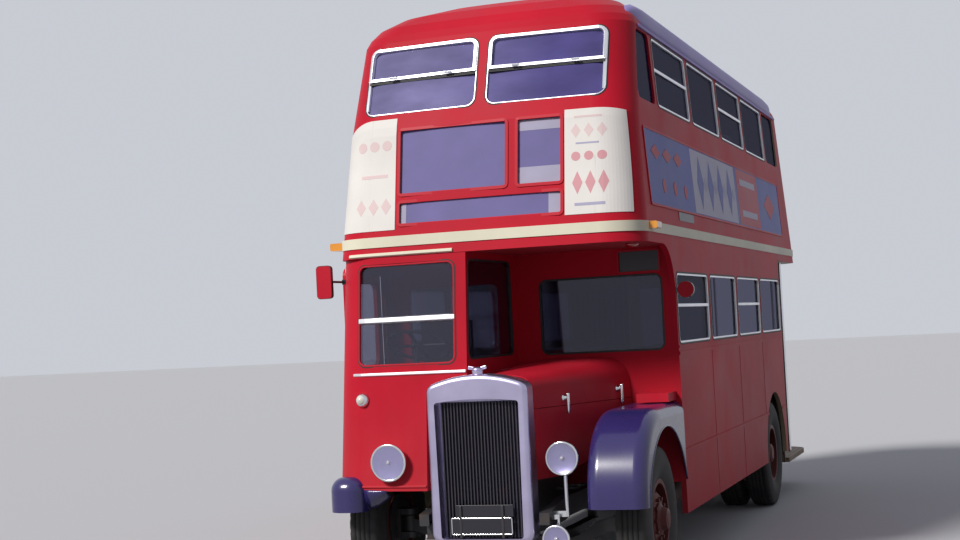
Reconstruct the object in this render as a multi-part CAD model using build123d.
from build123d import *
from math import cos, radians, sin, sqrt
import os

# A half-cab double-deck bus with an open rear platform, in millimetres.
# The nose points to -Y, the nearside with the platform is +X, and the ground is z = 0.

# Overall sizes
LENGTH = 7925.0
HEIGHT = 4356.0
WHEELBASE = 4978.0
FRONT_OVERHANG = 740.0
BODY_HALF = 1135.0
WALL = 40.0
SHEET = 6.0
GAP = 0.3
REAR_FACE = LENGTH / 2
NOSE_TIP = -LENGTH / 2
AXLE_FRONT = NOSE_TIP + FRONT_OVERHANG
AXLE_REAR = AXLE_FRONT + WHEELBASE

# Heights of the body
SKIRT = 470.0
FLOOR = 740.0
FLOOR_THICK = 40.0
PLATFORM = 390.0
PLATFORM_THICK = 45.0
CANOPY = 2430.0
UPPER_FLOOR = 2495.0
BAND_LOW = 2500.0
BAND_HIGH = 2573.0
GUTTER = HEIGHT - 336.0
UPPER_HEAD = GUTTER - 40.0
UPPER_SILL = UPPER_HEAD - 519.0
LOWER_SILL = 1705.0
LOWER_HEAD = 2228.0

# Bays along the body
BULKHEAD = AXLE_FRONT + 592.5
BAY = 1277.0
BAYS = 4
PILLAR = 78.0
PLATFORM_WALL = BULKHEAD + BAY * BAYS

# Shape of the upper deck
CANOPY_NOSE = NOSE_TIP + 224.5
RAKE_LOW = 0.18
RAKE_HIGH = 0.37
RAKE_CHANGE = 3340.0
FRONT_BOW = 70.0
FRONT_CORNER = 290.0
REAR_RAKE = 0.10
REAR_BOW = 55.0
REAR_CORNER = 330.0
LEAN = 0.062
ROOF_SHELL = 28.0

# Roof levels: share of the rise above the gutter, drawn in from the sides, drawn in from the rear
ROOF_RISE = HEIGHT - GUTTER
FRONT_DOME = 0.82
ROOF_LEVELS = [
    (0.0, 0.0, 0.0),
    (0.17, 22.0, 34.0),
    (0.39, 70.0, 112.0),
    (0.63, 170.0, 260.0),
    (0.83, 350.0, 500.0),
    (0.95, 590.0, 800.0),
    (1.0, 800.0, 1080.0),
]

# How far the cutting blocks reach past the body
AHEAD = NOSE_TIP - 240.0
BEHIND = REAR_FACE + 140.0
OUTSIDE = BODY_HALF + 165.0

# Wheels
TYRE_RADIUS = 509.0
TYRE_HALF = 125.0
RIM_SEAT = 254.0
TYRE_FRONT_X = 970.0
TYRE_REAR_OUTER_X = 990.0
TYRE_REAR_INNER_X = 705.0
KINGPIN_X = 800.0
KINGPIN_RADIUS = 22.0
STUB_RADIUS = 38.0
REAR_STUB_RADIUS = 50.0
RUNNING = 0.06

# Radiator and bonnet
RADIATOR_FRONT = NOSE_TIP + 17.5
RADIATOR_DEPTH = 150.0
RADIATOR_HALF_TOP = 361.0
RADIATOR_HALF_FOOT = 365.0
RADIATOR_TOP = 1584.0
RADIATOR_SHOULDER = 1512.0
RADIATOR_FOOT = 445.0
CORE_HALF = 302.0
CORE_TOP = 1410.0
CORE_FOOT = 474.0
SLATS = 24
BONNET_FRONT = RADIATOR_FRONT + RADIATOR_DEPTH + 6.0
BONNET_EDGE_X = -82.0
BONNET_EDGE_DROP = 34.0
BONNET_TOP_FRONT = 1570.0
BONNET_REAR_HALF = 790.0
BONNET_TOP_REAR = 1640.0
BONNET_SEAM = 1330.0
BONNET_SIDE_FOOT = 840.0

# Cab
CAB_FRONT = CANOPY_NOSE + 4.0
CAB_RAKE = 0.11
CAB_INNER_LOW = -395.0
CAB_INNER_HIGH = BONNET_EDGE_X - 10.0
CAB_FOOT = 800.0
CAB_FLOOR = 1150.0
CAB_STEP = 1480.0
CAB_WALL = 35.0
CAB_CORNER_LOW = 250.0
CAB_CORNER_HIGH = 370.0
SCREEN_LEFT = -925.0
SCREEN_RIGHT = -172.0
SCREEN_LOW = 1660.0
SCREEN_HIGH = 2380.0
CAB_LIGHT_REAR = -2760.0
CAB_LIGHT_LOW = 1690.0
CAB_LIGHT_HIGH = 2372.0
DOOR_FRONT = -3370.0
DOOR_REAR = -2770.0
DOOR_LOW = 1175.0
DOOR_HIGH = 2330.0
DOOR_THICK = 28.0

# Front mudguards
WING_OUTER = 1143.0
WING_INNER = 725.0
ARCH_RADIUS = 600.0
WING_ARCH = 640.0
WING_NOSE = NOSE_TIP + 22.0
WING_TOP = 1290.0
WING_NOSE_RADIUS = 560.0
WING_ROUND = 90.0
WING_FOOT = 660.0

# Chassis
RAIL_X = 430.0
RAIL_WIDTH = 70.0
RAIL_LOW = 500.0
RAIL_HIGH = 699.7
RAIL_REAR = 2440.0
SPRING_WIDTH = 76.0
RAIL_OUTER = RAIL_X + RAIL_WIDTH / 2


def box(x0, x1, y0, y1, z0, z1):
    centre = Pos((x0 + x1) / 2, (y0 + y1) / 2, (z0 + z1) / 2)
    return centre * Box(x1 - x0, y1 - y0, z1 - z0)


def along_x(face, x0, x1):
    """A face drawn as (y, z), carried from x0 to x1."""
    return extrude(Plane.YZ.offset(x0) * face, amount=x1 - x0)


def along_y(face, y0, y1):
    """A face drawn as (x, z), carried from y0 to y1."""
    return extrude(Plane.XZ.offset(-y1) * face, amount=y1 - y0)


def along_z(face, z0, z1):
    """A face drawn as (x, y), carried from z0 to z1."""
    return extrude(Plane.XY.offset(z0) * face, amount=z1 - z0)


def outline(*points):
    return make_face(Polyline(*points, close=True))


def pane(u0, u1, v0, v1, radius=60.0):
    """A rectangle with round corners between two pairs of limits."""
    return Pos((u0 + u1) / 2, (v0 + v1) / 2) * RectangleRounded(u1 - u0, v1 - v0, radius)


def tube_x(radius, x0, x1, y, z):
    return Pos((x0 + x1) / 2, y, z) * Rot(0, 90, 0) * Cylinder(radius, x1 - x0)


def tube_y(radius, x, y0, y1, z):
    return Pos(x, (y0 + y1) / 2, z) * Rot(90, 0, 0) * Cylinder(radius, y1 - y0)


def tube_z(radius, x, y, z0, z1):
    return Pos(x, y, (z0 + z1) / 2) * Cylinder(radius, z1 - z0)


def both_sides(solid):
    return [solid, mirror(solid, about=Plane.YZ)]


def save(name, *solids):
    flat = [s for shape in solids for s in shape.solids()]
    whole = flat[0] if len(flat) == 1 else Compound(children=flat)
    export_step(whole, f"parts/{name}.step")


# Body surfaces shared by the panels

def half_width(z):
    return BODY_HALF - max(z - CANOPY, 0.0) * LEAN


def front_y(z):
    low = (min(z, RAKE_CHANGE) - CANOPY) * RAKE_LOW
    high = max(z - RAKE_CHANGE, 0.0) * RAKE_HIGH
    return CANOPY_NOSE + low + high


def rear_y(z):
    return REAR_FACE - max(z - BAND_HIGH, 0.0) * REAR_RAKE


def front_plan(z, inset, back):
    """The bowed front of the body at height z, closed by a straight line at back."""
    half = half_width(z) - inset
    nose = front_y(z) + inset
    face = make_face(
        ThreePointArc((-half, nose + FRONT_BOW), (0, nose), (half, nose + FRONT_BOW))
        + Line((half, nose + FRONT_BOW), (half, back))
        + Line((half, back), (-half, back))
        + Line((-half, back), (-half, nose + FRONT_BOW))
    )
    corners = face.vertices().sort_by(Axis.Y)[:2]
    return fillet(corners, FRONT_CORNER - inset)


def rear_plan(z, inset, front):
    """The round rear of the body at height z, closed by a straight line at front."""
    half = half_width(z) - inset
    tail = rear_y(z) - inset
    face = make_face(
        ThreePointArc((-half, tail - REAR_BOW), (0, tail), (half, tail - REAR_BOW))
        + Line((half, tail - REAR_BOW), (half, front))
        + Line((half, front), (-half, front))
        + Line((-half, front), (-half, tail - REAR_BOW))
    )
    corners = face.vertices().sort_by(Axis.Y)[-2:]
    return fillet(corners, REAR_CORNER - inset)


def roof_plan(level, inset):
    _, side_in, end_in = level
    half = half_width(GUTTER) - side_in - inset
    nose = front_y(GUTTER) + FRONT_DOME * end_in + inset
    tail = rear_y(GUTTER) - end_in - inset
    face = make_face(
        ThreePointArc((-half, nose + FRONT_BOW), (0, nose), (half, nose + FRONT_BOW))
        + Line((half, nose + FRONT_BOW), (half, tail - REAR_BOW))
        + ThreePointArc((half, tail - REAR_BOW), (0, tail), (-half, tail - REAR_BOW))
        + Line((-half, tail - REAR_BOW), (-half, nose + FRONT_BOW))
    )
    front_radius = min(FRONT_CORNER + 0.5 * side_in, 0.75 * half) - inset
    rear_radius = min(REAR_CORNER - 60.0 + 0.3 * side_in, 0.75 * half) - inset
    face = fillet(face.vertices().sort_by(Axis.Y)[:2], front_radius)
    return fillet(face.vertices().sort_by(Axis.Y)[-2:], rear_radius)


FRONT_LEVELS = [CANOPY, RAKE_CHANGE, GUTTER]


def front_form(inset, back=BULKHEAD):
    return loft([Plane.XY.offset(z) * front_plan(z, inset, back) for z in FRONT_LEVELS], ruled=True)


def rear_form(inset, front=PLATFORM_WALL):
    levels = [CANOPY, BAND_HIGH, GUTTER]
    return loft([Plane.XY.offset(z) * rear_plan(z, inset, front) for z in levels], ruled=True)


def side_slab(outer, inner, y0, y1, z0, z1):
    """A leaning slab of the nearside wall between two depths under the outer skin."""
    low, high = half_width(z0), half_width(z1)
    face = outline((low - outer, z0), (high - outer, z1), (high - inner, z1), (low - inner, z0))
    return along_y(face, y0, y1)


# Bays of side windows, as (front edge, rear edge)

def bay_edges(first, count):
    edges = []
    for bay in range(count):
        start = BULKHEAD + BAY * (first + bay)
        edges.append((start + PILLAR / 2, start + BAY - PILLAR / 2))
    return edges


SIDE_BAYS = bay_edges(0, BAYS)
FRONT_QUARTER = (front_y(UPPER_SILL) + 300.0, BULKHEAD - PILLAR / 2)
REAR_QUARTER = (PLATFORM_WALL + PILLAR / 2, REAR_FACE - 672.5)


def front_quarter_pane(clear=0.0):
    """The front side window, whose front edge leans with the nose."""
    lean = RAKE_HIGH * (UPPER_HEAD - UPPER_SILL)
    start, end = FRONT_QUARTER
    face = outline(
        (start + clear, UPPER_SILL + clear),
        (end - clear, UPPER_SILL + clear),
        (end - clear, UPPER_HEAD - clear),
        (start + lean + clear, UPPER_HEAD - clear),
    )
    return fillet(face.vertices(), 60.0 - clear)


def front_panes(clear=0.0):
    """The two front windows of the upper deck, drawn as (x, z)."""
    inner, outer = 37.0, 902.0
    right = pane(inner + clear, outer - clear, UPPER_SILL + clear, UPPER_HEAD - clear, 70.0 - clear)
    left = pane(-outer + clear, -inner - clear, UPPER_SILL + clear, UPPER_HEAD - clear, 70.0 - clear)
    return [right, left]


# Destination display on the front panel: name, left, right, low, high
DISPLAY = [
    ("route_list", -595.0, 200.0, 2870.0, 3328.0),
    ("route_number", 288.0, 595.0, 2870.0, 3328.0),
    ("final_stop", -595.0, 595.0, 2655.0, 2805.0),
]
DISPLAY_BACK = front_y(RAKE_CHANGE) + 150.0
WINDOW_BACK = front_y(GUTTER) + 190.0


# Upper deck

def upper_front():
    shell = front_form(0) - front_form(WALL)
    for face in front_panes():
        shell -= along_y(face, AHEAD, WINDOW_BACK)
    for _, left, right, low, high in DISPLAY:
        shell -= along_y(pane(left, right, low, high, 14.0), AHEAD, DISPLAY_BACK)
    shell -= along_x(front_quarter_pane(), -OUTSIDE, OUTSIDE)
    return shell


def upper_side():
    wall = side_slab(0, WALL, BULKHEAD, PLATFORM_WALL, CANOPY, GUTTER)
    for start, end in SIDE_BAYS:
        wall -= along_x(pane(start, end, UPPER_SILL, UPPER_HEAD), 700, OUTSIDE)
    return wall


EXIT_HALF = 500.0
EXIT_HIGH = UPPER_HEAD - 55.0
EXIT_LOW = EXIT_HIGH - 595.0
EXIT_GAP = 6.0
EXIT_HINGES = (-330.0, 330.0)
EXIT_HINGE_Y = rear_y(EXIT_LOW) + 14.0
EXIT_PIN = 5.0
REAR_CUT = REAR_FACE - 560.0


def upper_rear():
    shell = rear_form(0) - rear_form(WALL)
    shell -= along_x(pane(*REAR_QUARTER, UPPER_SILL, UPPER_HEAD, 90.0), -OUTSIDE, OUTSIDE)
    shell -= along_y(pane(-EXIT_HALF, EXIT_HALF, EXIT_LOW, EXIT_HIGH, 90.0), REAR_CUT, BEHIND)
    for x in EXIT_HINGES:
        shell += tube_x(EXIT_PIN, x - 55, x + 55, EXIT_HINGE_Y, EXIT_LOW + 12)
        for side in (-1, 1):
            lug = x + side * 47
            shell += box(lug - 8, lug + 8, EXIT_HINGE_Y - 30, EXIT_HINGE_Y + 8, EXIT_LOW - 24, EXIT_LOW + 2)
            shell += box(lug - 8, lug + 8, EXIT_HINGE_Y - 9, EXIT_HINGE_Y + 8, EXIT_LOW + 2, EXIT_LOW + 19)
    return shell


def emergency_door():
    """The rear exit of the upper deck, hinged along its foot, with two hinge knuckles."""
    skin = rear_form(6) - rear_form(WALL - 6)
    edge = pane(
        -EXIT_HALF + EXIT_GAP, EXIT_HALF - EXIT_GAP, EXIT_LOW + EXIT_GAP, EXIT_HIGH - EXIT_GAP, 84.0
    )
    light = pane(-EXIT_HALF + 70, EXIT_HALF - 70, EXIT_LOW + 70, EXIT_HIGH - 70, 50.0)
    door = skin & along_y(edge, REAR_CUT, BEHIND)
    door -= along_y(light, REAR_CUT, BEHIND)
    for x in EXIT_HINGES:
        leaf = box(x - 35, x + 35, EXIT_HINGE_Y - 30, EXIT_HINGE_Y, EXIT_LOW + 6, EXIT_LOW + 40)
        door += leaf + tube_x(9, x - 35, x + 35, EXIT_HINGE_Y, EXIT_LOW + 12)
        door -= tube_x(EXIT_PIN + RUNNING, x - 56, x + 56, EXIT_HINGE_Y, EXIT_LOW + 12)
    return door


def exit_glass():
    skin = rear_form(16) - rear_form(22)
    light = pane(
        -EXIT_HALF + 70 + GAP, EXIT_HALF - 70 - GAP, EXIT_LOW + 70 + GAP, EXIT_HIGH - 70 - GAP, 50.0
    )
    return skin & along_y(light, REAR_CUT, BEHIND)


def roof():
    outer_levels, inner_levels = [], []
    for level in ROOF_LEVELS:
        share = level[0]
        outer_levels.append(Plane.XY.offset(GUTTER + share * ROOF_RISE) * roof_plan(level, 0))
        under = share * (ROOF_RISE - ROOF_SHELL)
        inner_levels.append(Plane.XY.offset(GUTTER + under) * roof_plan(level, ROOF_SHELL))
    return loft(outer_levels, ruled=True) - loft(inner_levels, ruled=True)


def upper_floor():
    """The saloon ceiling and canopy: a deck inside the walls, open over the stairs."""
    inset = WALL + GAP
    levels = (CANOPY, UPPER_FLOOR)
    slab = box(-OUTSIDE, OUTSIDE, AHEAD, BULKHEAD, CANOPY, UPPER_FLOOR)
    deck = front_form(inset) & slab
    deck += loft([Plane.XY.offset(z) * rear_plan(z, inset, BULKHEAD) for z in levels], ruled=True)
    return deck - box(-1200, STAIR_INNER, STAIR_HEAD, 3560, CANOPY - 10, UPPER_FLOOR + 10)


STAIR_INNER = -430.0
STAIR_HEAD = 2460.0


def upper_glass():
    panes = []
    skin = front_form(16) - front_form(22)
    for face in front_panes(GAP):
        panes.append(skin & along_y(face, AHEAD, WINDOW_BACK))
    quarter = skin & along_x(front_quarter_pane(GAP), -OUTSIDE, OUTSIDE)
    panes += list(quarter.solids())
    slab = side_slab(16, 22, BULKHEAD, PLATFORM_WALL, CANOPY, GUTTER)
    for start, end in SIDE_BAYS:
        cut = along_x(pane(start + GAP, end - GAP, UPPER_SILL + GAP, UPPER_HEAD - GAP), 700, OUTSIDE)
        panes += both_sides(slab & cut)
    rear_skin = rear_form(16) - rear_form(22)
    start, end = REAR_QUARTER
    face = pane(start + GAP, end - GAP, UPPER_SILL + GAP, UPPER_HEAD - GAP, 90.0)
    cut = along_x(face, -OUTSIDE, OUTSIDE)
    panes += list((rear_skin & cut).solids())
    return panes


def destination_display():
    """Three blind panels behind the apertures of the front panel."""
    skin = front_form(14) - front_form(30)
    panels = []
    for _, left, right, low, high in DISPLAY:
        face = pane(left + GAP, right - GAP, low + GAP, high - GAP, 14.0)
        panels.append(skin & along_y(face, AHEAD, DISPLAY_BACK))
    return panels


BAND_PROUD = 7.0
GUTTER_START = front_y(GUTTER) + 345.0
GUTTER_END = REAR_FACE - 600.0


def body_mouldings():
    """The cream band round the body between the decks and a rain gutter along each side."""
    front = front_plan(BAND_LOW, -BAND_PROUD, 0) - front_plan(BAND_LOW, -GAP, 0)
    rear = rear_plan(BAND_LOW, -BAND_PROUD, 0) - rear_plan(BAND_LOW, -GAP, 0)
    band = along_z(front, BAND_LOW, BAND_HIGH) + along_z(rear, BAND_LOW, BAND_HIGH)
    gutter = side_slab(-14, -GAP, GUTTER_START, GUTTER_END, GUTTER - 26.0, GUTTER - 2.0)
    return [band] + both_sides(gutter)


# Lower deck

def side_mouldings(y0, y1):
    """Half-round rails on the nearside lower wall: the waist rail and the guard rail."""
    rails = []
    for z, size in ((1636.0, 26.0), (1684.0, 14.0), (925.0, 22.0)):
        rails.append(box(BODY_HALF - 5, BODY_HALF + 8, y0, y1, z - size / 2, z + size / 2))
    return rails


def lower_side(rear_end):
    """The nearside lower wall from the bulkhead to rear_end, with its windows and arch."""
    wall = box(BODY_HALF - WALL, BODY_HALF, BULKHEAD, rear_end, SKIRT, CANOPY)
    for rail in side_mouldings(BULKHEAD + 2, rear_end - 2):
        wall += rail
    for start, end in SIDE_BAYS:
        wall -= along_x(pane(start, end, LOWER_SILL, LOWER_HEAD), 1000, OUTSIDE)
    arch = Pos(AXLE_REAR, TYRE_RADIUS) * Circle(ARCH_RADIUS)
    return wall - along_x(arch, 1000, OUTSIDE)


def canopy_gusset():
    """The curved panel that carries the canopy's nearside edge down into the bulkhead post."""
    top, reach = CANOPY - GAP, 360.0
    middle = (BULKHEAD - reach * (1 - cos(radians(45))), top - reach * (1 - sin(radians(45))))
    face = make_face(
        Line((BULKHEAD, top), (BULKHEAD - reach, top))
        + ThreePointArc((BULKHEAD - reach, top), middle, (BULKHEAD, top - reach))
        + Line((BULKHEAD, top - reach), (BULKHEAD, top))
    )
    return along_x(face, BODY_HALF - WALL, BODY_HALF)


def lower_glass():
    panes = []
    for start, end in SIDE_BAYS:
        face = pane(start + GAP, end - GAP, LOWER_SILL + GAP, LOWER_HEAD - GAP)
        panes += both_sides(along_x(face, BODY_HALF - 22, BODY_HALF - 16))
    left, right, low, high = BULKHEAD_LIGHT
    face = pane(left + GAP, right - GAP, low + GAP, high - GAP, 50.0)
    panes.append(along_y(face, BULKHEAD + 16, BULKHEAD + 22))
    left, right, low, high = CAB_BACK_LIGHT
    face = pane(left + GAP, right - GAP, low + GAP, high - GAP, 50.0)
    panes.append(along_y(face, BULKHEAD + 16, BULKHEAD + 22))
    left, right, low, high = REAR_LIGHT
    face = pane(left + GAP, right - GAP, low + GAP, high - GAP, 70.0)
    skin = lower_rear_form(16) - lower_rear_form(22)
    panes.append(skin & along_y(face, REAR_CUT, BEHIND))
    return panes


BULKHEAD_LIGHT = (100.0, 1028.0, 1675.0, 2222.0)
CAB_BACK_LIGHT = (-960.0, -240.0, 1675.0, 2222.0)
NUMBER_LIGHT = (715.0, 1022.0, 2250.0, 2405.0)
REAR_LIGHT = (-800.0, 20.0, 1500.0, 2250.0)


def front_bulkhead():
    side = BODY_HALF - WALL - GAP
    wall = box(-side, side, BULKHEAD, BULKHEAD + WALL, RAIL_HIGH + GAP, CANOPY - GAP)
    for left, right, low, high in (BULKHEAD_LIGHT, CAB_BACK_LIGHT):
        wall -= along_y(pane(left, right, low, high, 50.0), BULKHEAD - 50, BULKHEAD + 90)
    left, right, low, high = NUMBER_LIGHT
    wall -= along_y(pane(left, right, low, high, 10.0), BULKHEAD - 50, BULKHEAD + 14)
    ledge = box(860, side, BULKHEAD - 265, BULKHEAD, WING_TOP + 8, WING_TOP + 70)
    return wall + ledge


def lower_floor():
    """The saloon floor with its two wheel boxes."""
    edge = BODY_HALF - WALL - GAP
    floor = box(-edge, edge, BULKHEAD + WALL + GAP, PLATFORM_WALL, FLOOR - FLOOR_THICK, FLOOR)
    front, rear = AXLE_REAR - ARCH_RADIUS, AXLE_REAR + ARCH_RADIUS
    inner = TYRE_REAR_INNER_X - TYRE_HALF - 60
    top = 2 * TYRE_RADIUS + 85
    for side in (-1, 1):
        lo, hi = sorted((side * inner, side * edge))
        floor -= box(lo, hi, front, rear, FLOOR - 100, FLOOR + 10)
        lid = box(lo, hi, front, rear, FLOOR - FLOOR_THICK, top)
        lo, hi = sorted((side * (inner + 20), side * (edge + 5)))
        floor += lid - box(lo, hi, front + 20, rear - 20, FLOOR - 100, top - 20)
    return floor


def lower_rear_form(inset):
    face = rear_plan(CANOPY, inset, PLATFORM_WALL)
    return along_z(face, PLATFORM - PLATFORM_THICK - 20, CANOPY)


REAR_WALL_END = 150.0


def lower_rear_wall():
    """The offside rear corner and the part of the back beside the platform opening."""
    shell = lower_rear_form(0) - lower_rear_form(WALL)
    shell &= box(-OUTSIDE, REAR_WALL_END, PLATFORM_WALL, BEHIND, 0, CANOPY)
    left, right, low, high = REAR_LIGHT
    return shell - along_y(pane(left, right, low, high, 70.0), REAR_CUT, BEHIND)


def platform():
    """The low rear platform with the riser up to the saloon floor."""
    face = rear_plan(CANOPY, WALL + GAP, PLATFORM_WALL + WALL)
    deck = along_z(face, PLATFORM - PLATFORM_THICK, PLATFORM)
    wide = along_z(rear_plan(CANOPY, 2, PLATFORM_WALL + WALL), PLATFORM - PLATFORM_THICK, PLATFORM)
    deck += wide & box(REAR_WALL_END + GAP, OUTSIDE, 0, BEHIND, 0, 1000)
    edge = BODY_HALF - WALL - GAP
    riser = box(-edge, edge, PLATFORM_WALL + GAP, PLATFORM_WALL + WALL, PLATFORM - PLATFORM_THICK, FLOOR)
    return deck + riser


TREADS = 8


def staircase():
    """Steps that climb to the offside, turn in the rear corner and go forward to the upper deck."""
    rise = (UPPER_FLOOR - PLATFORM) / TREADS
    stair = box(-500, -475, 2465, 3080, 1420, UPPER_FLOOR + 850)
    for tread in range(1, TREADS):
        top = PLATFORM + rise * tread
        foot = top - rise - 10 if tread > 1 else PLATFORM + GAP
        if tread <= 4:
            left = max(-170.0 - 210.0 * tread, -1085.0)
            right = left + 235 if tread < 4 else -785.0
            left = -1085.0 if tread == 4 else left
            stair += box(left, right, 3080, 3640, top - 30, top)
            stair += box(right - 20, right, 3080, 3640, foot, top)
        else:
            start = 3080.0 - 205.0 * (tread - 4)
            stair += box(-1085, -500, start, start + 230, top - 30, top)
            stair += box(-1085, -500, start + 210, start + 230, foot, top)
    return [stair]


# Seats

def seat(x0, x1, y, floor, height=430.0):
    """A double seat that faces forward: cushion, squab and two end frames in one piece."""
    cushion = box(x0, x1, y - 430, y, floor + height - 100, floor + height)
    squab_face = outline(
        (y - 10, floor + height - 100),
        (y + 50, floor + height - 100),
        (y + 120, floor + height + 490),
        (y + 70, floor + height + 490),
    )
    squab = along_x(squab_face, x0, x1)
    legs = box(x0 + 30, x0 + 60, y - 330, y - 60, floor, floor + height - 100)
    legs += box(x1 - 60, x1 - 30, y - 330, y - 60, floor, floor + height - 100)
    return cushion + squab + legs


def lower_seats():
    seats = []
    for row in range(5):
        y = -1950.0 + 680.0 * row
        seats += both_sides(seat(240, 1085, y, FLOOR + GAP))
    top = 2 * TYRE_RADIUS + 85 + GAP
    back = BODY_HALF - WALL - 6
    bench = box(570, back, 1160, 2350, top, top + 90) + box(back - 70, back, 1160, 2350, top, top + 520)
    return seats + both_sides(bench)


def upper_seats():
    seats = []
    for row in range(8):
        y = -2830.0 + 770.0 * row
        seats.append(seat(250, 1010, y, UPPER_FLOOR + GAP))
        if row < 7:
            seats.append(seat(-1010, -250, y, UPPER_FLOOR + GAP))
    return seats


# Cab

def cab_front(z):
    """The cab's front on the centre line, which leans back as it rises."""
    return CAB_FRONT - (CANOPY - z) * CAB_RAKE


def cab_plan(z, inset, inner_x):
    """The cab seen from above at height z, bowed like the upper deck and open to the bulkhead."""
    half = BODY_HALF - inset
    left, right = -half, inner_x - inset
    middle = (left + right) / 2
    bow_radius = (half ** 2 + FRONT_BOW ** 2) / (2 * FRONT_BOW)
    bowed = lambda x: cab_front(z) + inset + bow_radius - sqrt(bow_radius ** 2 - x ** 2)
    face = make_face(
        Line((left, BULKHEAD - GAP), (left, bowed(left)))
        + ThreePointArc((left, bowed(left)), (middle, bowed(middle)), (right, bowed(right)))
        + Line((right, bowed(right)), (right, BULKHEAD - GAP))
        + Line((right, BULKHEAD - GAP), (left, BULKHEAD - GAP))
    )
    share = (z - CAB_FOOT) / (CANOPY - CAB_FOOT)
    radius = CAB_CORNER_LOW + share * (CAB_CORNER_HIGH - CAB_CORNER_LOW)
    corner = face.vertices().sort_by(Axis.X)[:2].sort_by(Axis.Y)[0]
    return fillet(corner, radius - inset)


def cab_form(inset, inner_x, low, high):
    levels = [Plane.XY.offset(z) * cab_plan(z, inset, inner_x) for z in (low, high)]
    return loft(levels, ruled=True)


def cab_side_light(clear=0.0):
    """The window in the cab's inner side, whose front edge leans with the cab."""
    low, high = CAB_LIGHT_LOW + clear, CAB_LIGHT_HIGH - clear
    post = CAB_WALL + 14.0 + clear
    face = outline(
        (cab_front(low) + post, low),
        (CAB_LIGHT_REAR - clear, low),
        (CAB_LIGHT_REAR - clear, high),
        (cab_front(high) + post, high),
    )
    return fillet(face.vertices(), 60.0 - clear)


def cab_body():
    """The driver's cab on the offside: front, side and inner walls with the cab floor."""
    top = CANOPY - GAP
    low = cab_form(0, CAB_INNER_LOW, CAB_FOOT, CAB_STEP)
    low -= cab_form(CAB_WALL, CAB_INNER_LOW, CAB_FOOT, CAB_FLOOR - 30)
    low -= cab_form(CAB_WALL, CAB_INNER_LOW, CAB_FLOOR, CAB_STEP)
    high = cab_form(0, CAB_INNER_HIGH, CAB_STEP, top)
    shelf = high & box(CAB_INNER_LOW - CAB_WALL, 0, AHEAD, BULKHEAD, CAB_STEP, CAB_STEP + 20)
    high -= cab_form(CAB_WALL, CAB_INNER_HIGH, CAB_STEP, top)
    shell = low + high + shelf
    screen = pane(SCREEN_LEFT, SCREEN_RIGHT, SCREEN_LOW, SCREEN_HIGH)
    shell -= along_y(screen, AHEAD, CAB_FRONT + 230)
    shell -= box(-OUTSIDE, -1050, DOOR_FRONT, DOOR_REAR, DOOR_LOW, DOOR_HIGH)
    shell -= along_x(cab_side_light(), CAB_INNER_HIGH - 150, 0)
    wheel = Pos(AXLE_FRONT, TYRE_RADIUS) * Circle(ARCH_RADIUS - 22)
    opening = Pos(AXLE_FRONT, TYRE_RADIUS) * Circle(ARCH_RADIUS)
    return shell - along_x(wheel, -OUTSIDE, -300) - along_x(opening, -OUTSIDE, -1090)


def cab_glass():
    skin = cab_form(14, CAB_INNER_HIGH, CAB_STEP, CANOPY) - cab_form(20, CAB_INNER_HIGH, CAB_STEP, CANOPY)
    screen = pane(SCREEN_LEFT + GAP, SCREEN_RIGHT - GAP, SCREEN_LOW + GAP, SCREEN_HIGH - GAP)
    side = cab_side_light(GAP)
    return [
        skin & along_y(screen, AHEAD, CAB_FRONT + 230),
        along_x(side, CAB_INNER_HIGH - 20, CAB_INNER_HIGH - 14),
    ]


DOOR_FACE = -BODY_HALF - 13.0


def cab_door():
    lap = 22.0
    face = pane(DOOR_FRONT - lap, DOOR_REAR + lap, DOOR_LOW - 56, DOOR_HIGH + 56, 70.0)
    light = pane(DOOR_FRONT + 60, DOOR_REAR - 60, 1660, DOOR_HIGH - 60)
    door = along_x(face, DOOR_FACE - DOOR_THICK, DOOR_FACE)
    return door - along_x(light, -OUTSIDE, -1000)


def cab_door_glass():
    light = pane(DOOR_FRONT + 60 + GAP, DOOR_REAR - 60 - GAP, 1660 + GAP, DOOR_HIGH - 60 - GAP)
    return along_x(light, DOOR_FACE - 18, DOOR_FACE - 12)


def door_runners():
    """Rails on the cab side that the sliding door runs on."""
    rails = []
    for z in (DOOR_LOW - 36, DOOR_HIGH + 36):
        rails.append(box(DOOR_FACE + GAP, -BODY_HALF, DOOR_FRONT - 30, -2130, z - 14, z + 14))
    return rails


STEER_CENTRE = (-640.0, -3300.0, 1790.0)
STEER_TILT = 28.0


def steering_wheel():
    ring = revolve(Plane.XZ * Pos(225, 0) * RegularPolygon(13, 8), Axis.Z)
    hub = Cylinder(45, 40)
    wheel = ring + hub
    for turn in range(4):
        wheel += Rot(0, 0, 90 * turn) * Pos(125, 0, 0) * Box(220, 22, 12)
    return Pos(*STEER_CENTRE) * Rot(-STEER_TILT, 0, 0) * wheel


def steering_column():
    stem = Pos(0, 0, -395.3) * Cylinder(24, 750)
    stem = Pos(*STEER_CENTRE) * Rot(-STEER_TILT, 0, 0) * stem
    return stem - box(-800, -500, -3800, -3200, CAB_FLOOR - 200, CAB_FLOOR + GAP)


def driver_seat():
    chair = box(-860, -430, -3090, -2720, 1430, 1530) + box(-860, -430, -2740, -2670, 1430, 2010)
    return chair + box(-760, -530, -3000, -2780, CAB_FLOOR + GAP, 1430)


# Nose

def shield(half_top, half_foot, top, shoulder, foot, radius):
    """The radiator outline: an arched head, round shoulders and sides that taper to the foot."""
    face = make_face(
        ThreePointArc((-half_top, shoulder), (0, top), (half_top, shoulder))
        + Line((half_top, shoulder), (half_foot, foot))
        + Line((half_foot, foot), (-half_foot, foot))
        + Line((-half_foot, foot), (-half_top, shoulder))
    )
    return fillet(face.vertices(), radius)


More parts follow.
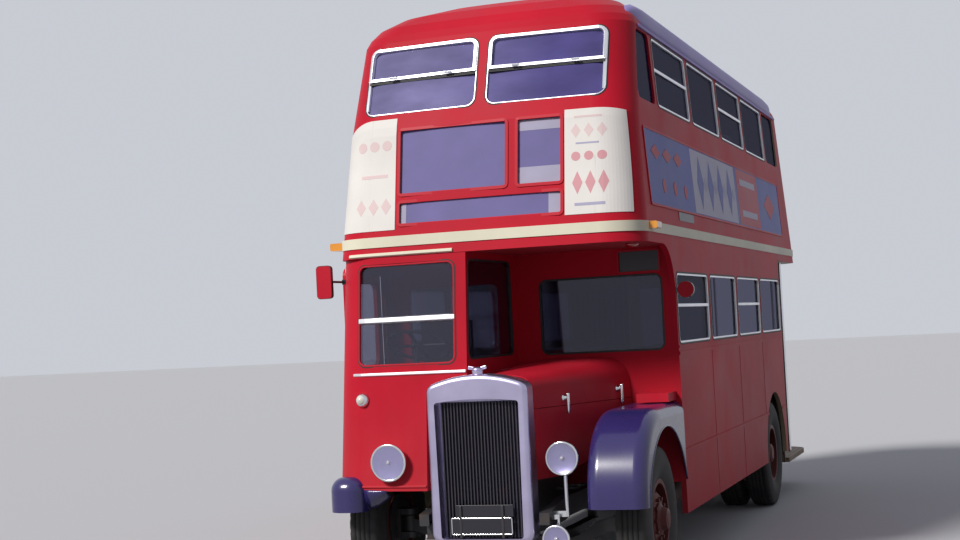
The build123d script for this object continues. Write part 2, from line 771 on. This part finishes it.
def radiator_shell():
    outer = shield(RADIATOR_HALF_TOP, RADIATOR_HALF_FOOT, RADIATOR_TOP, RADIATOR_SHOULDER, RADIATOR_FOOT, 70)
    window = shield(CORE_HALF, CORE_HALF - 10, CORE_TOP + 8, CORE_TOP - 12, CORE_FOOT, 22)
    body = along_y(outer, RADIATOR_FRONT, RADIATOR_FRONT + RADIATOR_DEPTH)
    front_edges = body.faces().sort_by(Axis.Y)[0].edges()
    body = fillet(front_edges, 34)
    body -= along_y(window, RADIATOR_FRONT - 20, RADIATOR_FRONT + 110)
    cap = tube_z(38, 0, RADIATOR_FRONT + 75, RADIATOR_TOP - 20, RADIATOR_TOP + 26)
    back = RADIATOR_FRONT + RADIATOR_DEPTH + 1
    notch = box(-400, BONNET_EDGE_X, cab_front(CAB_STEP) - 6, back, CAB_STEP - 6, RADIATOR_TOP + 1)
    return body - notch + cap


def radiator_core():
    """A frame of upright slats inside the shell, joined by a back plate."""
    half = CORE_HALF - 24
    plate_front = RADIATOR_FRONT + 70
    core = box(-half, half, plate_front, RADIATOR_FRONT + 110 - GAP, CORE_FOOT + 4, CORE_TOP - 14)
    pitch = 2 * half / SLATS
    for slat in range(SLATS):
        x = -half + pitch * (slat + 0.5)
        core += box(x - 4, x + 4, plate_front - 22, plate_front + 2, CORE_FOOT + 6, CORE_TOP - 16)
    return core


def bonnet_section(half_low, half_high, top, radius, inset, foot):
    """The bonnet across the bus: a crowned top and one upright side, as (x, z)."""
    edge, shoulder = top - BONNET_EDGE_DROP - inset, top - 40 - inset
    splay = (half_low - half_high) / (top - 40 - BONNET_SIDE_FOOT)
    half_foot = half_high + splay * (top - 40 - foot)
    face = make_face(
        Line((BONNET_EDGE_X, foot), (BONNET_EDGE_X, edge))
        + ThreePointArc(
            (BONNET_EDGE_X, edge),
            ((BONNET_EDGE_X + half_high) / 2 + 20, top - inset),
            (half_high - inset, shoulder),
        )
        + Line((half_high - inset, shoulder), (half_foot - inset, foot))
        + Line((half_foot - inset, foot), (BONNET_EDGE_X, foot))
    )
    corner = face.vertices().sort_by(Axis.X)[-2:].sort_by(Axis.Y)[-1]
    return fillet(corner, radius - inset)


def bonnet_form(inset, foot):
    front = bonnet_section(357, 352, BONNET_TOP_FRONT, 90, inset, foot)
    rear = bonnet_section(BONNET_REAR_HALF, 745, BONNET_TOP_REAR, 170, inset, foot)
    ends = [Plane.XZ.offset(-BONNET_FRONT) * front, Plane.XZ.offset(-(BULKHEAD - 8)) * rear]
    return loft(ends, ruled=True)


# The bonnet hinge: a rod along the sheet's edge, carried by the cab side
HINGE_X = BONNET_EDGE_X + 1.0
HINGE_DROP = 4.0
HINGE_ROD = 6.0
HINGE_BARREL = 10.0
HINGE_BARRELS = [(-3740.0, -3560.0), (-3290.0, -3110.0), (-2860.0, -2680.0)]
HINGE_BRACKETS = [-3500.0, -3350.0, -3050.0, -2920.0]


def hinge_z(y):
    rise = (BONNET_TOP_REAR - BONNET_TOP_FRONT) / (BULKHEAD - 8 - BONNET_FRONT)
    return BONNET_TOP_FRONT - BONNET_EDGE_DROP - HINGE_DROP + rise * (y - BONNET_FRONT)


def hinge_tube(radius, y0, y1):
    """A round bar on the hinge line, which rises towards the bulkhead."""
    start, end = (HINGE_X, y0, hinge_z(y0)), (HINGE_X, y1, hinge_z(y1))
    line = Vector(*end) - Vector(*start)
    return extrude(Plane(start, z_dir=line) * Circle(radius), amount=line.length)


def bonnet_hinge():
    """The hinge rod with the brackets that hold it to the cab's inner side."""
    rod = hinge_tube(HINGE_ROD, -3728, -2660)
    for y in HINGE_BRACKETS:
        z = hinge_z(y)
        rod += box(CAB_INNER_HIGH + GAP, HINGE_X, y - 12, y + 12, z - 4.5, z + 4.5)
    return rod


def bonnet():
    """The lifting top of the engine cover, down to the seam under its handles."""
    shell = bonnet_form(0, BONNET_SEAM) - bonnet_form(SHEET, BONNET_SEAM - 60)
    for y0, y1 in HINGE_BARRELS:
        shell += hinge_tube(HINGE_BARREL, y0, y1)
    return shell - hinge_tube(HINGE_ROD + RUNNING, -3800, -2630)


def bonnet_side():
    """The fixed nearside panel below the bonnet seam."""
    shell = bonnet_form(0, BONNET_SIDE_FOOT) - bonnet_form(SHEET, BONNET_SIDE_FOOT - 60)
    shell &= box(200, 900, -3900, BULKHEAD, 0, BONNET_SEAM - 4)
    slope = outline((-3900, 0), (-3900, 850), (-3500, 850), (BULKHEAD + 10, 1090), (BULKHEAD + 10, 0))
    return shell - along_x(slope, 0, 1000)


def wing_side(inset, foot, rear):
    """The mudguard seen from the side, as (y, z): a quarter-round nose that runs into a flat top."""
    nose, top = WING_NOSE + inset, WING_TOP - inset
    reach = WING_NOSE_RADIUS - inset
    centre_y, centre_z = nose + reach, top - reach
    middle = (centre_y - reach * cos(radians(45)), centre_z + reach * sin(radians(45)))
    return make_face(
        Line((nose, foot), (nose, centre_z))
        + ThreePointArc((nose, centre_z), middle, (centre_y, top))
        + Line((centre_y, top), (rear, top))
        + Line((rear, top), (rear, foot))
        + Line((rear, foot), (nose, foot))
    )


def round_edges(solid, radius, keep):
    """Rounds the two long edges of a mudguard block where keep(centre) holds."""
    xs = [v.X for v in solid.vertices()]
    ends = (min(xs), max(xs))
    edges = solid.edges().filter_by(
        lambda e: min(abs(e.center().X - end) for end in ends) < 1 and keep(e.center())
    )
    return fillet(edges, radius)


def mudguard():
    """The nearside front mudguard: a pressed shell with round shoulders and an open arch."""
    rear = BULKHEAD - GAP
    outer = along_x(wing_side(0, WING_FOOT, rear), WING_INNER, WING_OUTER)
    outer = round_edges(outer, WING_ROUND, lambda c: c.Z > WING_FOOT + 30 and c.Y < rear - 20)
    hollow = along_x(wing_side(8, WING_FOOT - 60, rear + 60), WING_INNER + 8, WING_OUTER - 8)
    hollow = round_edges(hollow, WING_ROUND - 8, lambda c: c.Z > WING_FOOT - 25 and c.Y < rear + 20)
    shell = outer - hollow
    arch = Pos(AXLE_FRONT, TYRE_RADIUS) * Circle(WING_ARCH)
    shell -= along_x(arch, 0, OUTSIDE)
    shell -= box(0, OUTSIDE, AXLE_FRONT, BULKHEAD, 0, WING_FOOT + 6)
    return shell - bonnet_form(-GAP, WING_FOOT - 100)


OFFSIDE_WING_TOP = 900.0
OFFSIDE_WING_INNER = -870.0
OFFSIDE_WING_REAR = CAB_FRONT + 4.0


def dome(inset, foot, rear):
    """The offside wing's block with a round nose and a round top edge."""
    top, nose = OFFSIDE_WING_TOP - inset, WING_NOSE + inset
    block = box(-WING_OUTER + inset, OFFSIDE_WING_INNER - inset, nose, rear, foot, top)
    block = fillet(block.edges().filter_by(Axis.Z).sort_by(Axis.Y)[:2], 125 - inset)
    edge = block.edges().filter_by(lambda e: e.center().Z > top - 5 and e.center().Y < rear - 5)
    return fillet(edge, 95 - inset)


def offside_wing():
    """The low wing in front of the cab: a domed nose, hollow and open to the wheel."""
    shell = dome(0, WING_FOOT, OFFSIDE_WING_REAR) - dome(9, WING_FOOT - 50, OFFSIDE_WING_REAR + 100)
    shell -= cab_form(-GAP, CAB_INNER_LOW, CAB_FOOT - GAP, CAB_FLOOR)
    arch = Pos(AXLE_FRONT, TYRE_RADIUS) * Circle(ARCH_RADIUS)
    return shell - along_x(arch, -OUTSIDE, 0)


# Lamps and small fittings

HEADLAMP_LEFT = (555.0, -3815.0, 996.0)
HEADLAMP_RIGHT = (-662.0, cab_front(870.0) - 12.0, 1000.0)
FOG_LAMP = (505.0, -3880.0, 466.0)


def lamp(radius, depth):
    """A lamp with its rim towards -Y and a round back with a small flat for its bolt."""
    face = make_face(
        Line((0, -16), (radius + 8, -16))
        + Line((radius + 8, -16), (radius + 8, 2))
        + Line((radius + 8, 2), (radius, 2))
        + ThreePointArc((radius, 2), (0.78 * radius, 0.62 * depth), (0.25 * radius, depth))
        + Line((0.25 * radius, depth), (0, depth))
        + Line((0, depth), (0, -16))
    )
    return revolve(face, Axis.Y)


def lamps():
    """Two headlamps and a fog lamp, with their stems and brackets."""
    x, y, z = HEADLAMP_LEFT
    left = Pos(x, y, z) * lamp(106, 120) + tube_z(14, x, y + 40, 600, z - 60)
    left += box(RAIL_OUTER + GAP, x, y + 20, y + 60, 600, 640)
    right = Pos(*HEADLAMP_RIGHT) * lamp(120, 80)
    right -= cab_form(-GAP, CAB_INNER_LOW, CAB_FOOT, CAB_STEP)
    x, y, z = FOG_LAMP
    fog = Pos(x, y, z) * lamp(86, 80) + tube_z(12, x, y + 54, z + 40, 620)
    fog += box(RAIL_OUTER + GAP, x, y + 40, y + 68, 590, 620)
    return [left, right, fog]


def trafficators():
    """Amber arms on the corners of the band between the decks."""
    arms = []
    seat_x = half_width(BAND_LOW) + BAND_PROUD + GAP
    near = box(seat_x, BODY_HALF + 60, -3392, -3252, 2520, 2570)
    far = box(-BODY_HALF - MIRROR_REACH + 2, -seat_x, -3392, -3252, 2515, 2570)
    for solid in (near, far):
        arms.append(fillet(solid.edges().filter_by(Axis.Y), 12))
    return arms


MIRROR_REACH = 132.0


def mirrors():
    """An oblong mirror on a bar ahead of the cab door and a small round one on the nearside post."""
    skin = -BODY_HALF
    housing = box(skin - MIRROR_REACH, skin - 12, -3655, -3627, 2160, 2400)
    housing = fillet(housing.edges().filter_by(Axis.Y), 28)
    foot = box(skin - 15, skin + 35, -3465, -3415, 2262, 2298)
    foot -= cab_form(-GAP, CAB_INNER_HIGH, CAB_STEP, CANOPY)
    right = housing + foot + box(skin - 18, skin - 4, -3640, -3415, 2272, 2288)
    y, z = BULKHEAD + 30, 2100.0
    left = tube_y(62, BODY_HALF + MIRROR_REACH - 62, y - 12, y + 12, z)
    left += tube_x(7, BODY_HALF, BODY_HALF + 60, y, z)
    left += box(BODY_HALF, BODY_HALF + 8, y - 25, y + 25, z - 20, z + 20)
    return [right, left]


def handrails():
    """The platform pole and the grab rails beside the entrance."""
    pole = tube_z(16, BODY_HALF - 110, 3330, PLATFORM + GAP, CANOPY - GAP)
    inner = tube_z(16, BODY_HALF - 90, PLATFORM_WALL + WALL + 60, PLATFORM + GAP, CANOPY - GAP)
    rear = tube_z(16, REAR_WALL_END + 60, REAR_FACE - 120, PLATFORM + GAP, CANOPY - GAP)
    return [pole, inner, rear]


# Running gear

TOW_HOLE = 16.0
TOW_Y = NOSE_TIP + 95.0
TOW_Z = 600.0
FRONT_SPRING_LOW = 402.3
REAR_SPRING_LOW = 372.7
FRONT_SPRING_HALF = 560.0
REAR_SPRING_HALF = 590.0

# Spring hangers: axle y, half length, top of the eye, rail underside in front and behind
HANGERS = [
    (AXLE_FRONT, FRONT_SPRING_HALF, FRONT_SPRING_LOW + 90, (560.0, 560.0)),
    (AXLE_REAR, REAR_SPRING_HALF, REAR_SPRING_LOW + 90, (500.0, 590.0)),
]


def rail_profile():
    """The side of a chassis rail: a deep middle, arched over the rear axle, low dumb irons in front."""
    arch = AXLE_REAR
    return outline(
        (NOSE_TIP + 60, 560), (NOSE_TIP + 60, 640), (-3500, RAIL_HIGH), (RAIL_REAR, RAIL_HIGH),
        (RAIL_REAR, 590), (arch + 320, 590), (arch + 220, 605), (arch - 220, 605),
        (arch - 360, RAIL_LOW), (-2500, RAIL_LOW), (-3000, 560),
    )


def chassis_frame():
    face = rail_profile()
    rail = along_x(face, RAIL_OUTER - RAIL_WIDTH, RAIL_OUTER)
    rail -= along_x(offset(face, amount=-8), RAIL_OUTER - RAIL_WIDTH - 1, RAIL_OUTER - 8)
    rail -= tube_x(TOW_HOLE, RAIL_OUTER - 12, RAIL_OUTER + 4, TOW_Y, TOW_Z)
    frame = rail + mirror(rail, about=Plane.YZ)
    for y in (-1800.0, -1100.0, -300.0, 500.0, 1200.0, 2350.0):
        frame += box(-RAIL_OUTER + 4, RAIL_OUTER - 4, y - 40, y + 40, 612, 680)
    nose = RADIATOR_FRONT + RADIATOR_DEPTH
    frame += box(-RAIL_OUTER + 4, RAIL_OUTER - 4, nose + GAP, nose + 75, 580, 640)
    for y in (-1990.0, -1353.0, -75.0, 640.0):
        for side in (-1, 1):
            lo, hi = sorted((side * (RAIL_OUTER - 2), side * (BODY_HALF - WALL - GAP)))
            frame += box(lo, hi, y - 25, y + 25, RAIL_HIGH - 60, RAIL_HIGH)
    for y, half, eye_top, rail_low in HANGERS:
        for end in (-1, 1):
            at = y + end * (half - 25)
            low = rail_low[0] if end < 0 else rail_low[1]
            for side in (-1, 1):
                x = side * RAIL_X
                frame += box(x - 28, x + 28, at - 28, at + 28, eye_top + GAP, low + 4)
    return frame


def leaf_spring(x, y, half_length, low, leaves=5):
    """A pack of stepped leaves, longest on top."""
    pack = None
    for leaf in range(leaves):
        reach = half_length * (1 - 0.16 * leaf)
        top = low + 12.0 * (leaves - leaf)
        strip = box(x - SPRING_WIDTH / 2, x + SPRING_WIDTH / 2, y - reach, y + reach, top - 12, top)
        pack = strip if pack is None else pack + strip
    for end in (-1, 1):
        eye = y + end * (half_length - 25)
        pack += box(x - 30, x + 30, eye - 25, eye + 25, low + 50, low + 90)
    return pack


def front_axle():
    """A dropped beam with kingpin eyes, clipped under its two springs."""
    face = outline(
        (-KINGPIN_X, 545), (-KINGPIN_X, 455), (-620, 400), (-520, 330), (520, 330), (620, 400),
        (KINGPIN_X, 455), (KINGPIN_X, 545), (600, 490), (480, 402), (-480, 402), (-600, 490),
    )
    beam = along_y(face, AXLE_FRONT - 42, AXLE_FRONT + 42)
    for side in (-1, 1):
        beam += tube_z(52, side * KINGPIN_X, AXLE_FRONT, 445, 555)
    for side in (-1, 1):
        beam -= tube_z(KINGPIN_RADIUS + RUNNING, side * KINGPIN_X, AXLE_FRONT, 400, 600)
    return beam


def knuckle():
    """The nearside steering knuckle: kingpin, forked ears, stub axle, back plate and steering arm."""
    x = KINGPIN_X
    piece = tube_z(KINGPIN_RADIUS, x, AXLE_FRONT, 400, 600)
    for low, high in ((395, 438), (562, 605)):
        piece += tube_z(52, x, AXLE_FRONT, low, high)
        piece += box(x, x + 70, AXLE_FRONT - 52, AXLE_FRONT + 52, low, high)
    piece += box(x + 58, x + 82, AXLE_FRONT - 60, AXLE_FRONT + 60, 395, 605)
    piece += tube_x(STUB_RADIUS, x + 80, x + 285, AXLE_FRONT, TYRE_RADIUS)
    piece += tube_x(205, x + 82, x + 92, AXLE_FRONT, TYRE_RADIUS)
    piece += box(x - 60, x + 10, AXLE_FRONT, AXLE_FRONT + 230, 395, 418)
    return piece


def rim_faces(centre):
    """A wheel rim across the axle, as (x, radius)."""
    return outline(
        (centre - 96, 276), (centre - 88, 276), (centre - 88, RIM_SEAT), (centre + 88, RIM_SEAT),
        (centre + 88, 276), (centre + 96, 276), (centre + 96, RIM_SEAT - 9), (centre - 96, RIM_SEAT - 9),
    )


def tyre(centre):
    """A tyre ring at x = centre on the X axis."""
    bead = RIM_SEAT + GAP
    section = outline(
        (centre - 80, bead), (centre - TYRE_HALF, 392), (centre - 92, TYRE_RADIUS),
        (centre + 92, TYRE_RADIUS), (centre + TYRE_HALF, 392), (centre + 80, bead),
    )
    return revolve(section, Axis.X)


def studs(count, circle, radius, x0, x1):
    ring = []
    for stud in range(count):
        turn = radians(360.0 * stud / count)
        ring.append(tube_x(radius, x0, x1, circle * cos(turn), circle * sin(turn)))
    return ring


def front_wheel():
    """Dished disc wheel with a domed hub, on the X axis at the nearside front."""
    c = TYRE_FRONT_X
    disc = outline((c - 4, RIM_SEAT - 8), (c + 12, RIM_SEAT - 8), (c + 82, 165), (c + 82, 60), (c + 68, 60), (c + 68, 160))
    hub = outline((c - 62, STUB_RADIUS + RUNNING), (c - 62, 92), (c + 70, 92), (c + 82, 110), (c + 96, 110), (c + 112, 84), (c + 150, 70), (c + 158, 40), (c + 158, 0), (c + 122, 0), (c + 122, STUB_RADIUS + RUNNING))
    wheel = revolve(rim_faces(c), Axis.X) + revolve(disc, Axis.X) + revolve(hub, Axis.X)
    for hole in studs(8, 206, 26, c - 40, c + 120):
        wheel -= hole
    for nut in studs(10, 138, 13, c + 80, c + 104):
        wheel += nut
    return wheel


def rear_wheels():
    """Twin rims on one hub, on the X axis at the nearside rear."""
    outer, inner = TYRE_REAR_OUTER_X, TYRE_REAR_INNER_X
    mid = (outer + inner) / 2
    disc = outline((outer - 20, RIM_SEAT - 8), (outer - 4, RIM_SEAT - 8), (mid + 12, 170), (mid + 12, 60), (mid, 60), (mid, 160))
    twin = outline((inner + 20, RIM_SEAT - 8), (inner + 4, RIM_SEAT - 8), (mid - 12, 170), (mid - 12, 60), (mid, 60), (mid, 160))
    hub = outline((mid - 150, REAR_STUB_RADIUS + RUNNING), (mid - 150, 120), (mid + 30, 120), (mid + 60, 100), (mid + 225, 90), (mid + 240, 60), (mid + 240, 0), (mid + 205, 0), (mid + 205, REAR_STUB_RADIUS + RUNNING))
    wheel = revolve(rim_faces(outer), Axis.X) + revolve(rim_faces(inner), Axis.X)
    wheel = wheel + revolve(disc, Axis.X) + revolve(twin, Axis.X) + revolve(hub, Axis.X)
    for hole in studs(8, 205, 24, mid - 160, mid + 160):
        wheel -= hole
    for nut in studs(10, 142, 13, mid + 10, mid + 34):
        wheel += nut
    return wheel


def rear_axle():
    """The axle casing with its final drive, spring seats and stub ends."""
    inner_end = TYRE_REAR_INNER_X - 22
    casing = tube_x(68, -inner_end + 20, inner_end - 20, AXLE_REAR, TYRE_RADIUS)
    casing += tube_x(REAR_STUB_RADIUS, -1045, 1045, AXLE_REAR, TYRE_RADIUS)
    casing += tube_x(190, -95, 95, AXLE_REAR, TYRE_RADIUS - 20)
    casing += tube_y(80, 0, AXLE_REAR - 260, AXLE_REAR, TYRE_RADIUS - 20)
    for x in (-RAIL_X, RAIL_X):
        casing += box(x - 38, x + 38, AXLE_REAR - 60, AXLE_REAR + 60, REAR_SPRING_LOW + 60 + GAP, TYRE_RADIUS - 40)
    return casing


def driveline():
    """Gearbox, prop shaft and its joints, from the engine to the final drive."""
    nose = AXLE_REAR - 260 - GAP
    gearbox = tube_y(165, 0, ENGINE_REAR + GAP, -2250, 520) + tube_y(110, 0, -2250, -1950, 520)
    shaft = tube_y(38, 0, -1950, nose, 505)
    return gearbox + shaft + tube_y(70, 0, nose - 38, nose, 495)


ENGINE_REAR = -2745.0


def engine_block():
    """The engine as one plain block with its mounting lugs on the frame."""
    block = box(-250, 250, -3690, ENGINE_REAR, 440, 1330)
    block = fillet(block.edges().filter_by(Axis.Y), 40)
    return block + box(-RAIL_X, RAIL_X, -3010, -2950, RAIL_HIGH + GAP, RAIL_HIGH + 16)


def fuel_tank():
    tank = box(-1040, -500, -800, 250, 330, 610)
    tank = fillet(tank.edges().filter_by(Axis.Y), 80)
    for y in (-600.0, 50.0):
        tank += box(-530, -RAIL_X - RAIL_WIDTH / 2, y - 30, y + 30, 560, 600)
    return tank


def exhaust_system():
    """A pipe down the nearside of the frame with one silencer and two hangers."""
    pipe = tube_y(30, 560, -2500, 900, 420) + tube_y(105, 560, -900, -150, 420)
    for y in (-1990.0, 640.0):
        pipe += box(554, 566, y - 15, y + 15, 420, RAIL_HIGH - 60 - GAP)
    return pipe


def at_axle(shape, y):
    return Pos(0, y, TYRE_RADIUS) * shape


def main():
    os.makedirs("parts", exist_ok=True)
    mirrored = lambda shape: mirror(shape, about=Plane.YZ)
    save("chassis_frame", chassis_frame())
    save("engine_block", engine_block())
    save("driveline", driveline())
    save("fuel_tank", fuel_tank())
    save("exhaust_system", exhaust_system())
    save("front_axle", front_axle())
    save("rear_axle", rear_axle())
    springs = both_sides(leaf_spring(RAIL_X, AXLE_FRONT, FRONT_SPRING_HALF, FRONT_SPRING_LOW))
    springs += both_sides(leaf_spring(RAIL_X, AXLE_REAR, REAR_SPRING_HALF, REAR_SPRING_LOW))
    save("leaf_springs", *springs)
    left = knuckle()
    save("knuckle_left", left)
    save("knuckle_right", mirrored(left))
    wheel, ring = at_axle(front_wheel(), AXLE_FRONT), at_axle(tyre(TYRE_FRONT_X), AXLE_FRONT)
    save("wheel_front_left", wheel)
    save("wheel_front_right", mirrored(wheel))
    save("tyre_front_left", ring)
    save("tyre_front_right", mirrored(ring))
    wheel = at_axle(rear_wheels(), AXLE_REAR)
    rings = [at_axle(tyre(x), AXLE_REAR) for x in (TYRE_REAR_OUTER_X, TYRE_REAR_INNER_X)]
    save("wheels_rear_left", wheel)
    save("wheels_rear_right", mirrored(wheel))
    save("tyres_rear_left", *rings)
    save("tyres_rear_right", *[mirrored(r) for r in rings])
    save("radiator_shell", radiator_shell())
    save("radiator_core", radiator_core())
    save("bonnet", bonnet())
    save("bonnet_side", bonnet_side())
    save("bonnet_hinge", bonnet_hinge())
    save("mudguard_left", mudguard())
    save("mudguard_right", offside_wing())
    save("cab_body", cab_body())
    save("door_runners", *door_runners())
    save("cab_door", cab_door())
    save("cab_door_glass", cab_door_glass())
    save("cab_glass", *cab_glass())
    save("driver_seat", driver_seat())
    save("steering_column", steering_column())
    save("steering_wheel", steering_wheel())
    save("front_bulkhead", front_bulkhead())
    save("lower_side_left", lower_side(PLATFORM_WALL) + canopy_gusset())
    save("lower_side_right", mirrored(lower_side(PLATFORM_WALL)))
    save("lower_rear_wall", lower_rear_wall())
    save("lower_floor", lower_floor())
    save("platform", platform())
    save("staircase", *staircase())
    save("lower_glass", *lower_glass())
    save("lower_seats", *lower_seats())
    save("upper_floor", upper_floor())
    save("upper_front", upper_front())
    side = upper_side()
    save("upper_side_left", side)
    save("upper_side_right", mirrored(side))
    save("upper_rear", upper_rear())
    save("roof", roof())
    save("body_mouldings", *body_mouldings())
    save("upper_glass", *upper_glass())
    save("upper_seats", *upper_seats())
    save("emergency_door", emergency_door())
    save("emergency_door_glass", exit_glass())
    save("destination_display", *destination_display())
    save("lamps", *lamps())
    save("trafficators", *trafficators())
    save("handrails", *handrails())
    save("mirrors", *mirrors())


main()
